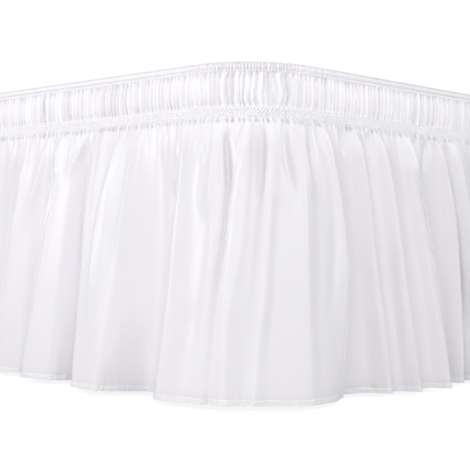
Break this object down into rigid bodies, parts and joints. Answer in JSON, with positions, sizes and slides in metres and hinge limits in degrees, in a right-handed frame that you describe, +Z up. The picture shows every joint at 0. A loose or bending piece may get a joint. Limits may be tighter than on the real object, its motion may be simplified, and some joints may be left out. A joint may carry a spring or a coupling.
{
  "type": "bed skirt on a box spring",
  "caption": "Gathered wrap-around bed skirt with an elasticated shirred heading, fitted round a plain box spring on legs and hanging in soft folds to just above the floor.",
  "frame": {"origin": "on the floor under the middle of the bed", "axes": "+Z up, +X across the bed, +Y along the bed towards its head"},
  "size_m": [1.1183, 2.0369, 0.406],
  "materials": {
    "ruffle_cloth": "smooth white polyester with a soft sheen",
    "heading_cloth": "smooth white polyester, shirred",
    "elastic_band": "white polyester gathered over elastic, stitched",
    "ticking": "matte woven ticking",
    "leg_wood": "satin lacquered beech"
  },
  "bodies": {
    "root": {"skirt_ruffle": "ruffle_cloth", "shirred_heading": "heading_cloth", "upper_elastic_band": "elastic_band", "lower_elastic_band": "elastic_band", "box_spring": "ticking", "base_leg_1": "leg_wood", "base_leg_2": "leg_wood", "base_leg_3": "leg_wood", "base_leg_4": "leg_wood"}
  },
  "joints": []
}
